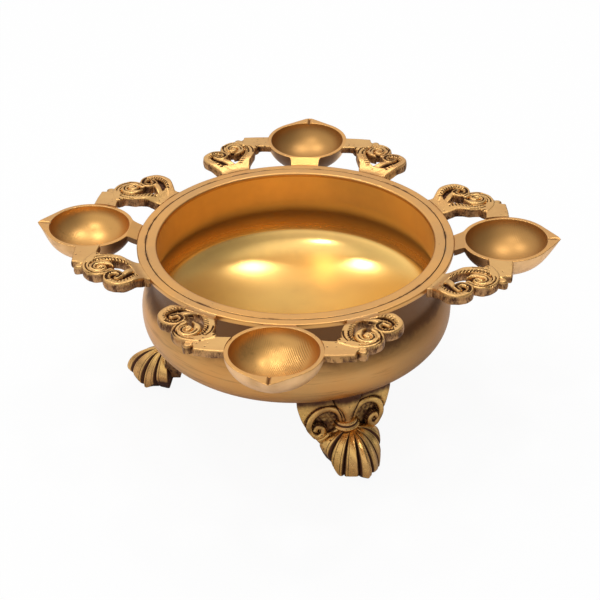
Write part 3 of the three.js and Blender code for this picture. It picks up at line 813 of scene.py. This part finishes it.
def knot_surface(s):
    """A ball with two ridges across its face, where the tongue gathers the shell's flutes."""
    deep, wide, high, middle = 6.2, 7.4, 5.0, 24.4
    a = np.linspace(-np.pi / 2, np.pi / 2, 60)[:, None]
    b = np.linspace(0, 2 * np.pi, 90, endpoint=False)[None, :]
    ridge = np.cos(a * 8 + 0.5)
    size = 1 + 0.07 * ridge * np.cos(a)
    x = deep * size * np.cos(a) * np.cos(b)
    y = wide * size * np.cos(a) * np.sin(b)
    z = high * np.sin(a) + 0.016 * y * y
    return np.stack([x + s.radius / MM, y, z + middle], -1), np.clip(-ridge * 1.6 - 0.5, 0, 1) + 0 * b


# Shader values

class Value:
    """A shader socket in an expression: +, -, *, / and the named operations add Math nodes."""

    def __init__(self, shade, socket):
        self.shade, self.socket = shade, socket

    def maths(self, operation, a, b):
        """One Math node on values or numbers."""
        return self.shade.node("ShaderNodeMath", {"operation": operation}, {0: a, 1: b})

    def __add__(self, other):
        return self.maths("ADD", self, other)

    def __radd__(self, other):
        return self.maths("ADD", other, self)

    def __sub__(self, other):
        return self.maths("SUBTRACT", self, other)

    def __rsub__(self, other):
        return self.maths("SUBTRACT", other, self)

    def __mul__(self, other):
        return self.maths("MULTIPLY", self, other)

    def __rmul__(self, other):
        return self.maths("MULTIPLY", other, self)

    def __truediv__(self, other):
        return self.maths("DIVIDE", self, other)

    def __rtruediv__(self, other):
        return self.maths("DIVIDE", other, self)

    def power(self, exponent):
        return self.maths("POWER", self, exponent)

    def above(self, other):
        return self.maths("MAXIMUM", self, other)

    def sine(self):
        return self.maths("SINE", self, 0.0)

    def cosine(self):
        return self.maths("COSINE", self, 0.0)


class Shade:
    """A node tree of a material or of the world, with a single way to add any node."""

    def __init__(self, name, owner=None, output="ShaderNodeOutputMaterial"):
        self.material = owner or bpy.data.materials.new(name)
        self.material.use_nodes = True
        self.tree = self.material.node_tree
        self.tree.nodes.clear()
        self.output = self.tree.nodes.new(output)

    def node(self, kind, settings, inputs, output=0):
        """Adds a node, sets its settings, its ramp's grey stops and its inputs, and returns an output."""
        made = self.tree.nodes.new(kind)
        stops = settings.pop("stops", None)
        for key, value in settings.items():
            setattr(made, key, value)
        if stops:
            ramp = made.color_ramp
            while len(ramp.elements) < len(stops):
                ramp.elements.new(1.0)
            for element, (place, grey) in zip(ramp.elements, stops):
                element.position = place
                element.color = (grey, grey, grey, 1)
        for key, value in inputs.items():
            socket = made.inputs[key]
            if isinstance(value, Value):
                self.tree.links.new(value.socket, socket)
            else:
                socket.default_value = value
        return Value(self, made.outputs[output])

    def between(self, value, low, high, to_low=0.0, to_high=1.0):
        """Takes a value from one range to another, smoothly and held at the ends."""
        return self.node("ShaderNodeMapRange", {"interpolation_type": "SMOOTHSTEP"}, {
            "Value": value, "From Min": low, "From Max": high, "To Min": to_low, "To Max": to_high})

    def blend(self, share, a, b):
        """A colour between two colours."""
        return self.node("ShaderNodeMix", {"data_type": "RGBA"}, {0: share, 6: a, 7: b}, 2)

    def place(self, scale=(1, 1, 1)):
        """Object coordinates, stretched by a scale."""
        where = self.node("ShaderNodeTexCoord", {}, {}, "Object")
        return self.node("ShaderNodeVectorMath", {"operation": "MULTIPLY"}, {0: where, 1: scale})

    def plan(self, scale=(1, 1, 1)):
        """The piece's own plan positions in decimetres, stretched by a scale."""
        where = self.node("ShaderNodeUVMap", {"uv_map": "plan"}, {})
        return self.node("ShaderNodeVectorMath", {"operation": "MULTIPLY"}, {0: where, 1: scale})

    def noise(self, where, scale, detail=2.0, roughness=0.5):
        """A cloudy pattern with values round 0.5."""
        return self.node("ShaderNodeTexNoise", {}, {
            "Vector": where, "Scale": scale, "Detail": detail, "Roughness": roughness})

    def pits(self, where, scale, size):
        """1 in small round pits scattered over the surface, and 0 between them."""
        gap = self.node("ShaderNodeTexVoronoi", {"feature": "F1"}, {"Vector": where, "Scale": scale})
        return self.between(gap, size, 0.0)

    def recess(self):
        """The darkening that the shape gives each point: patina in hollows, and painted shade on some pieces.
        """
        return self.node("ShaderNodeAttribute", {"attribute_name": "recess"}, {}, "Fac")

    def relief(self, height, distance, strength=1.0, over=None):
        """A bumped normal, over another one if that is given."""
        inputs = {"Height": height, "Distance": distance, "Strength": strength}
        return self.node("ShaderNodeBump", {}, inputs | ({"Normal": over} if over else {}))

    def level(self):
        """The place's x and y, and its distance from the bowl's axis."""
        where = self.node("ShaderNodeTexCoord", {}, {}, "Object")
        x = self.node("ShaderNodeSeparateXYZ", {}, {0: where}, "X")
        y = Value(self, x.socket.node.outputs["Y"])
        return x, y, (x * x + y * y).power(0.5)

    def finish(self, colour, roughness, normal, metallic):
        """Puts the shader on the material's surface, and returns the material."""
        shader = self.node("ShaderNodeBsdfPrincipled", {}, {
            "Base Color": colour, "Roughness": roughness, "Normal": normal, "Metallic": metallic})
        self.tree.links.new(shader.socket, self.output.inputs["Surface"])
        return self.material


def rgba(colour, gain=1.0):
    """A colour with its alpha, made darker or brighter by a gain."""
    return (colour[0] * gain, colour[1] * gain, colour[2] * gain, 1.0)


def tarnished(shade, look, base, rough, dark, mottle=1.0):
    """Brass of one tone with cloudy tarnish, and the patina colour where dark is near 1, for patina and
    painted shade alike.
    """
    cloud = shade.noise(shade.place(), 26, 4, 0.6)
    speck = shade.noise(shade.place(), 420, 3, 0.7)
    worn = shade.between(cloud, 0.35, 0.7) * mottle
    tone = shade.blend(worn, rgba(base), rgba(look.warm))
    tone = shade.blend(dark, tone, rgba(look.patina))
    roughness = rough + (0.10 * cloud + 0.08 * speck) * mottle
    roughness = roughness * (1 - dark) + 0.52 * dark
    return tone, roughness, 1 - 0.25 * dark


def inside_brass(name, look):
    """Polished and spun: faint rings, a duller neck, and a floor that shines as a rounder dish."""
    shade = Shade(name)
    radius = shade.level()[2]
    dish_radius, dish_depth = 0.096, 0.0037
    dish = shade.relief(1 - (radius * math.pi / dish_radius).cosine(), dish_depth)
    rings = shade.noise(shade.place((2, 2, 90)), 6, 3, 0.6)
    stain = shade.between(shade.noise(shade.place(), 16, 5, 0.65), 0.62, 0.85, 0.0, 0.12)
    # Painted shade: the recess attribute lays a dark band under the inner shoulder
    dark = stain.above(0.7 * shade.recess())
    tone, rough, metal = tarnished(shade, look, look.inside, 0.17, dark, 0.3)
    height = shade.node("ShaderNodeSeparateXYZ", {}, {0: shade.place()}, "Z")
    neck_start, neck_full = 0.072, 0.08
    rough = rough + shade.between(height, neck_start, neck_full, 0.0, 0.2)
    return shade.finish(tone, rough, shade.relief(rings, 0.00005, 0.3, dish), metal * 0.92)


def outside_brass(name, look):
    """Satin with fine turning lines that run level round the belly, painted shade and some tarnish up at the
    neck, and painted shade on the right.
    """
    shade = Shade(name)
    lines = shade.noise(shade.place((3, 3, 260)), 9, 5, 0.7)
    streak = shade.noise(shade.place((6, 6, 110)), 4, 4, 0.6)
    # film carries the painted shade under the shoulder from the recess attribute, with cloudy tarnish
    film = shade.recess() + 0.5 * (shade.noise(shade.place(), 60, 4, 0.7) - 0.5)
    dark = shade.between(streak, 0.52, 0.76, 0.0, 0.42).above(shade.between(film, 0.3, 0.8, 0.0, 0.82))
    # Painted shade: the belly darkens towards its right side
    dark = dark.above(shade.between(shade.level()[0], 0.04, 0.085, 0.0, 0.46))
    tone, rough, metal = tarnished(shade, look, look.outside, 0.25, dark)
    return shade.finish(tone, rough, shade.relief(lines, 0.00014, 0.7), metal)


def rim_brass(name, look):
    """Faced flat: fine rings, scattered nicks and a dark film beside the seam."""
    shade = Shade(name)
    x, y, radius = shade.level()
    ring_place = shade.node("ShaderNodeCombineXYZ", {}, {"X": radius * 900, "Y": x * 9, "Z": y * 9})
    lines = shade.noise(ring_place, 1.0, 3, 0.6)
    off_seam = (radius - SEAM_RADIUS).power(2).power(0.5)
    patches = shade.between(shade.noise(shade.place(), 70, 4, 0.7), 0.42, 0.66)
    grime = shade.between(off_seam, 0.0013, 0.0002) * patches
    grime = grime.above(shade.between(off_seam, 0.0004, 0.00015))
    nicks = shade.pits(shade.place(), 260, 0.12) * shade.between(shade.noise(shade.place(), 25, 2), 0.5, 0.66)
    dark = (grime * 0.9).above(nicks)
    tone, rough, metal = tarnished(shade, look, look.rim, 0.27, dark)
    return shade.finish(tone, rough, shade.relief(lines, 0.00008, 0.6), metal)


def cup_rim_brass(name, look):
    """Filed flat, with nicks, and dark in the wick's cut."""
    shade = Shade(name)
    file_marks = shade.noise(shade.plan((40, 500, 1)), 1.4, 3, 0.6)
    nicks = shade.pits(shade.place(), 240, 0.14) * shade.between(shade.noise(shade.place(), 40, 2), 0.5, 0.65)
    dark = (shade.recess() * 0.8).above(nicks)
    tone, rough, metal = tarnished(shade, look, look.rim, 0.28, dark)
    return shade.finish(tone, rough, shade.relief(file_marks, 0.00008, 0.6), metal)


def cup_hollow_brass(name, look):
    """Ground inside: fine marks that run one way, strongest in the front cup, brown stains, and painted shade
    in the right and back cups.
    """
    shade = Shade(name)
    where = shade.node("ShaderNodeTexCoord", {}, {}, "Object")
    slanted = shade.node(
        "ShaderNodeVectorRotate", {"rotation_type": "Z_AXIS"}, {"Vector": where, "Angle": 1.15})
    across = shade.node("ShaderNodeSeparateXYZ", {}, {0: slanted}, "Y")
    near = shade.node("ShaderNodeSeparateXYZ", {}, {0: where}, "Y")
    patch = shade.between(shade.noise(where, 45, 2), 0.36, 0.62) * shade.between(near, -0.09, -0.1, 0.25, 1.0)
    marks = (across * 6600 + 5 * shade.noise(where, 90, 2)).sine() * patch
    stain = shade.between(shade.noise(where, 75, 5, 0.7), 0.5, 0.8, 0.0, 0.4)
    stain = stain.above(0.5 * shade.between(marks, 0.3, 1.0)).above(shade.recess())
    x, y, _ = shade.level()
    # Painted shade: the hollows of the right and back cups are darker
    stain = stain.above(shade.between(x + y, 0.0, 0.1, 0.0, 0.32))
    tone, rough, metal = tarnished(shade, look, look.hollow, 0.34, stain, 0.4)
    return shade.finish(tone, rough, shade.relief(marks, 0.00004, 1.0), metal)


def cup_hull_brass(name, look):
    """As cast and brushed outside, with painted shade that makes it duller and darker towards the neck."""
    shade = Shade(name)
    grain = shade.noise(shade.place(), 350, 4, 0.7)
    blotch = shade.noise(shade.place((1, 1, 2)), 45, 5, 0.7)
    # recess gives painted shade on the hull's side towards the bowl
    dark = shade.between(blotch, 0.52, 0.8, 0.0, 0.5).above(shade.recess())
    tone, rough, metal = tarnished(shade, look, look.hull, 0.33, dark)
    return shade.finish(tone, rough, shade.relief(grain, 0.00014, 0.6), metal)


def chased_brass(name, look, base, rough):
    """Cast relief: bright on the worn tops, with patina that gathers in the recesses."""
    shade = Shade(name)
    grain = shade.noise(shade.place(), 520, 4, 0.75)
    # On the feet, recess also holds painted shade at the top of the shield
    edge = shade.recess() + 0.34 * (shade.noise(shade.place(), 240, 4, 0.7) - 0.5)
    pits = shade.pits(shade.place(), 330, 0.26) * shade.between(shade.noise(shade.place(), 70, 3), 0.46, 0.58)
    dark = shade.between(edge, 0.14, 0.6).above(pits * 0.9)
    tone, rough, metal = tarnished(shade, look, base, rough, dark)
    height = grain * 0.6 - pits * 1.8
    return shade.finish(tone, rough, shade.relief(height, 0.00025, 0.8), metal)


def cast_side_brass(name, look):
    """The sides and backs of castings: rough, brown and unpolished."""
    shade = Shade(name)
    grain = shade.noise(shade.place(), 420, 5, 0.75)
    dark = shade.between(shade.noise(shade.place((1, 1, 0.5)), 190, 5, 0.8), 0.40, 0.62, 0.08, 0.95)
    tone, rough, metal = tarnished(shade, look, look.side, 0.38, dark)
    return shade.finish(tone, rough, shade.relief(grain, 0.0003, 0.8), metal)


def finish_of(name, maker, *rest):
    """The material of this name, made by its maker the first time."""
    return bpy.data.materials.get(name) or maker(name, *rest)


# Operators

def sizes(context, key):
    """One of the property groups, by its key in SETTINGS."""
    return getattr(context.scene, key)


class DIYA_OT_bowl(bpy.types.Operator):
    """Turns the bowl and the ring that is brazed round its flange"""

    bl_idname = "diya.make_bowl"
    bl_label = "Make Bowl and Ring"

    def execute(self, context):
        s, look = sizes(context, "diya_bowl"), sizes(context, "diya_finish")
        profile, zones = bowl_profile(s)
        outside = np.arange(len(profile)) < np.sum(zones == 0)
        above_belly = profile[:, 1] - s.base_height / MM - BELLY_RISE
        # film is painted shade: outside, the bowl darkens from its widest place up to the neck, under the
        # shoulder and brackets, with some tarnish; inside, a dark band under the inner shoulder
        film = np.where(outside, ease(above_belly / 20), np.exp(-((above_belly - 10) / 9) ** 2))
        bowl = Surface(carried_round(profile, BOWL_STEPS), film[:, None], zones[:, None])
        finishes = [
            finish_of("bowl_outside_brass", outside_brass, look),
            finish_of("faced_rim_brass", rim_brass, look),
            finish_of("bowl_inside_brass", inside_brass, look)]
        make_piece("bowl_turned", [bowl], finishes, ["bowl"], sharp=60)
        ring = Surface(carried_round(ring_profile(s), RING_STEPS, wobble=0.05, seed=5))
        make_piece("rim_ring_turned", [ring], [finishes[1]], ["rim_ring"], sharp=60)
        return {"FINISHED"}


class DIYA_OT_cups(bpy.types.Operator):
    """Casts the leaf-shaped lamp cups round the rim"""

    bl_idname = "diya.make_cups"
    bl_label = "Make Lamp Cups"

    def execute(self, context):
        s, bowl, look = sizes(context, "diya_cup"), sizes(context, "diya_bowl"), sizes(context, "diya_finish")
        # patina holds the painted shade on the hulls' sides towards the bowl and the dark of the wick's cut
        points, patina, zones = cup_points(s, bowl.ring_radius / MM - 0.05)
        cup = Surface(place_cup(points, s, bowl.rim_height / MM), patina, zones[:, None])
        finishes = [
            finish_of("cup_hull_brass", cup_hull_brass, look),
            finish_of("cup_rim_brass", cup_rim_brass, look),
            finish_of("cup_hollow_brass", cup_hollow_brass, look)]
        for place, degrees in CUP_ANGLES.items():
            make_piece(f"lamp_cup_{place}", [cup], finishes, [f"diya_cup_{place}"], degrees)
        return {"FINISHED"}


class DIYA_OT_brackets(bpy.types.Operator):
    """Chases the openwork scroll brackets on both sides of each cup"""

    bl_idname = "diya.make_brackets"
    bl_label = "Make Scroll Brackets"

    def execute(self, context):
        s, cup, bowl = sizes(context, "diya_scroll"), sizes(context, "diya_cup"), sizes(context, "diya_bowl")
        look = sizes(context, "diya_finish")
        outer = (cup.opening + cup.wall) / MM
        plate = bracket_plate(s, bowl.ring_radius / MM, outer, cup.centre / MM, bowl.rim_height / MM)
        finishes = [
            finish_of("chased_brass", chased_brass, look, look.chased, 0.29),
            finish_of("cast_side_brass", cast_side_brass, look)]
        for place, degrees in CUP_ANGLES.items():
            for hand in ("left", "right"):
                make_piece(f"scroll_bracket_{place}_{hand}", [plate], finishes,
                           [f"scroll_{place}_{hand}"], degrees, hand == "right")
        return {"FINISHED"}


class DIYA_OT_feet(bpy.types.Operator):
    """Casts the shell feet with their volutes"""

    bl_idname = "diya.make_feet"
    bl_label = "Make Shell Feet"

    def execute(self, context):
        s, bowl = sizes(context, "diya_foot"), sizes(context, "diya_bowl")
        look = sizes(context, "diya_finish")
        base, belly = bowl.base_height / MM, bowl.belly_radius / MM
        x, y, shield, face, recess = foot_relief(s)
        plate = Plate(x, y, shield, face, -s.thickness / MM + 0 * x, recess, wall_rows=5, rough=0.06)
        plate.points = below_belly(wrapped(plate.points, s, base), belly, base)
        shell_points, shell_dark = shell_surface(s)
        knot_points, knot_dark = knot_surface(s)
        parts = [plate, Surface(shell_points, shell_dark), Surface(knot_points, knot_dark)]
        finishes = [
            finish_of("shell_brass", chased_brass, look, look.shell, 0.17),
            finish_of("cast_side_brass", cast_side_brass, look)]
        for place, degrees in FOOT_ANGLES.items():
            make_piece(f"shell_foot_{place}", parts, finishes, [f"foot_{place}"], degrees)
        return {"FINISHED"}


class DIYA_OT_studio(bpy.types.Operator):
    """Lays the pale floor, hangs the soft lamps and sets the camera"""

    bl_idname = "diya.make_studio"
    bl_label = "Make Studio"

    def execute(self, context):
        studio = sizes(context, "diya_studio")
        lay_floor(studio)
        light_world()
        for lamp in LAMPS:
            hang_lamp(*lamp, studio.key_power)
        set_camera(context)
        context.scene.view_settings.view_transform = "Standard"
        return {"FINISHED"}


def lay_floor(studio):
    """A wide level sheet at the ground, near white to the camera and shaded by the object."""
    mesh = bpy.data.meshes.new("floor_sheet")
    mesh.from_pydata([(-9, -9, 0), (9, -9, 0), (9, 9, 0), (-9, 9, 0)], [], [(0, 1, 2, 3)])
    floor = bpy.data.objects.new("floor_sheet", mesh)
    bpy.context.scene.collection.objects.link(floor)
    shade = Shade("paper")
    seen = shade.node("ShaderNodeLightPath", {}, {}, "Is Camera Ray")
    tone = shade.blend(seen, rgba(studio.paper, 0.95), rgba(studio.paper))
    lit = shade.node("ShaderNodeBsdfPrincipled", {}, {
        "Base Color": tone, "Roughness": 1.0, "Specular IOR Level": 0.0})
    white = shade.node("ShaderNodeEmission", {}, {"Color": (1, 1, 1, 1), "Strength": 1.0})
    mixed = shade.node("ShaderNodeMixShader", {}, {0: seen * 0.93, 1: lit, 2: white})
    shade.tree.links.new(mixed.socket, shade.output.inputs["Surface"])
    mesh.materials.append(shade.material)


def light_world():
    """A plain studio: dim near the horizon, bright above it, and darker on the right."""
    world = bpy.data.worlds.new("studio_world")
    bpy.context.scene.world = world
    shade = Shade("studio_world", world, "ShaderNodeOutputWorld")
    where = shade.node("ShaderNodeTexCoord", {}, {}, "Generated")
    x = shade.node("ShaderNodeSeparateXYZ", {}, {0: where}, "X")
    height = Value(shade, x.socket.node.outputs["Z"])
    stops = [(0.0, 0.21), (0.15, 0.24), (0.5, 0.56), (0.68, 0.42), (0.88, 0.34), (0.99, 0.72)]
    level = shade.node("ShaderNodeValToRGB", {"stops": stops}, {0: height})
    side = shade.between(x, 0.0, 0.85, 1.0, 0.3)
    sky = shade.node("ShaderNodeBackground", {}, {"Color": level, "Strength": 1.92 * side})
    shade.tree.links.new(sky.socket, shade.output.inputs["Surface"])


# Where each lamp hangs, what it faces, its two sides, and its share of the studio's power
LAMPS = [
    ("right_lamp", (0.22, 0.42, 1.30), (0, 0, 0.06), 0.14, 0.14, 0.65),
    ("left_lamp", (-0.47, 0.38, 1.30), (0, 0, 0.06), 0.14, 0.14, 0.65),
    ("near_lamp", (-0.25, -0.34, 1.30), (0, 0.05, 0.06), 0.09, 0.16, 0.45),
]


def hang_lamp(name, place, target, wide, high, share, power):
    """Hangs a soft rectangular lamp at a place, turned to its target."""
    lamp = bpy.data.lights.new(name, "AREA")
    lamp.shape, lamp.size, lamp.size_y = "RECTANGLE", wide, high
    lamp.energy = power * share
    holder = bpy.data.objects.new(name, lamp)
    bpy.context.scene.collection.objects.link(holder)
    holder.location = place
    holder.rotation_euler = (Vector(target) - Vector(place)).to_track_quat("-Z", "Y").to_euler()


def set_camera(context):
    """The photograph's view: from a little right of the front and 33 degrees above, with its slight roll."""
    turn, rise, roll = math.radians(5.34), math.radians(32.62), math.radians(-0.78)
    rim_middle, distance, to_right, down = Vector((0, 0, 0.104)), 0.793, 0.0021, 0.0366
    sensor, focal_pixels, picture_pixels = 36, 1363, 600
    ahead = Vector((-math.sin(turn) * math.cos(rise), math.cos(turn) * math.cos(rise), -math.sin(rise)))
    right = Vector((math.cos(turn), math.sin(turn), 0))
    up = right.cross(ahead)
    place = rim_middle - ahead * distance + right * to_right - up * down
    tilted_right = right * math.cos(roll) + up * math.sin(roll)
    tilted_up = up * math.cos(roll) - right * math.sin(roll)
    camera = bpy.data.cameras.new("camera")
    camera.sensor_fit, camera.sensor_width = "HORIZONTAL", sensor
    camera.lens = sensor * focal_pixels / picture_pixels
    camera.clip_start, camera.clip_end = 0.01, 40
    holder = bpy.data.objects.new("camera", camera)
    context.scene.collection.objects.link(holder)
    axes = Matrix((tilted_right, tilted_up, -ahead)).transposed()
    holder.matrix_world = Matrix.Translation(place) @ axes.to_4x4()
    context.scene.camera = holder


class DIYA_PT_panel(bpy.types.Panel):
    """Lists the bowl's sizes and the steps that make it"""

    bl_idname = "DIYA_PT_panel"
    bl_label = "Diya Bowl"
    bl_space_type = "VIEW_3D"
    bl_region_type = "UI"
    bl_category = "Diya Bowl"

    def draw(self, context):
        for key, group in SETTINGS.items():
            box = self.layout.box()
            for name in group.__annotations__:
                box.prop(getattr(context.scene, key), name)
        for step in STEPS:
            self.layout.operator(step.bl_idname)


STEPS = [DIYA_OT_bowl, DIYA_OT_cups, DIYA_OT_brackets, DIYA_OT_feet, DIYA_OT_studio]


def register():
    """Adds the property groups, the operators and the panel."""
    for item in [*SETTINGS.values(), *STEPS, DIYA_PT_panel]:
        bpy.utils.register_class(item)
    for key, group in SETTINGS.items():
        setattr(bpy.types.Scene, key, bpy.props.PointerProperty(type=group))


def unregister():
    """Takes them all away again."""
    for key in SETTINGS:
        delattr(bpy.types.Scene, key)
    for item in reversed([*SETTINGS.values(), *STEPS, DIYA_PT_panel]):
        bpy.utils.unregister_class(item)


def main():
    """Makes the bowl and its studio."""
    register()
    bpy.ops.diya.make_bowl()
    bpy.ops.diya.make_cups()
    bpy.ops.diya.make_brackets()
    bpy.ops.diya.make_feet()
    bpy.ops.diya.make_studio()


if __name__ == "__main__":
    main()
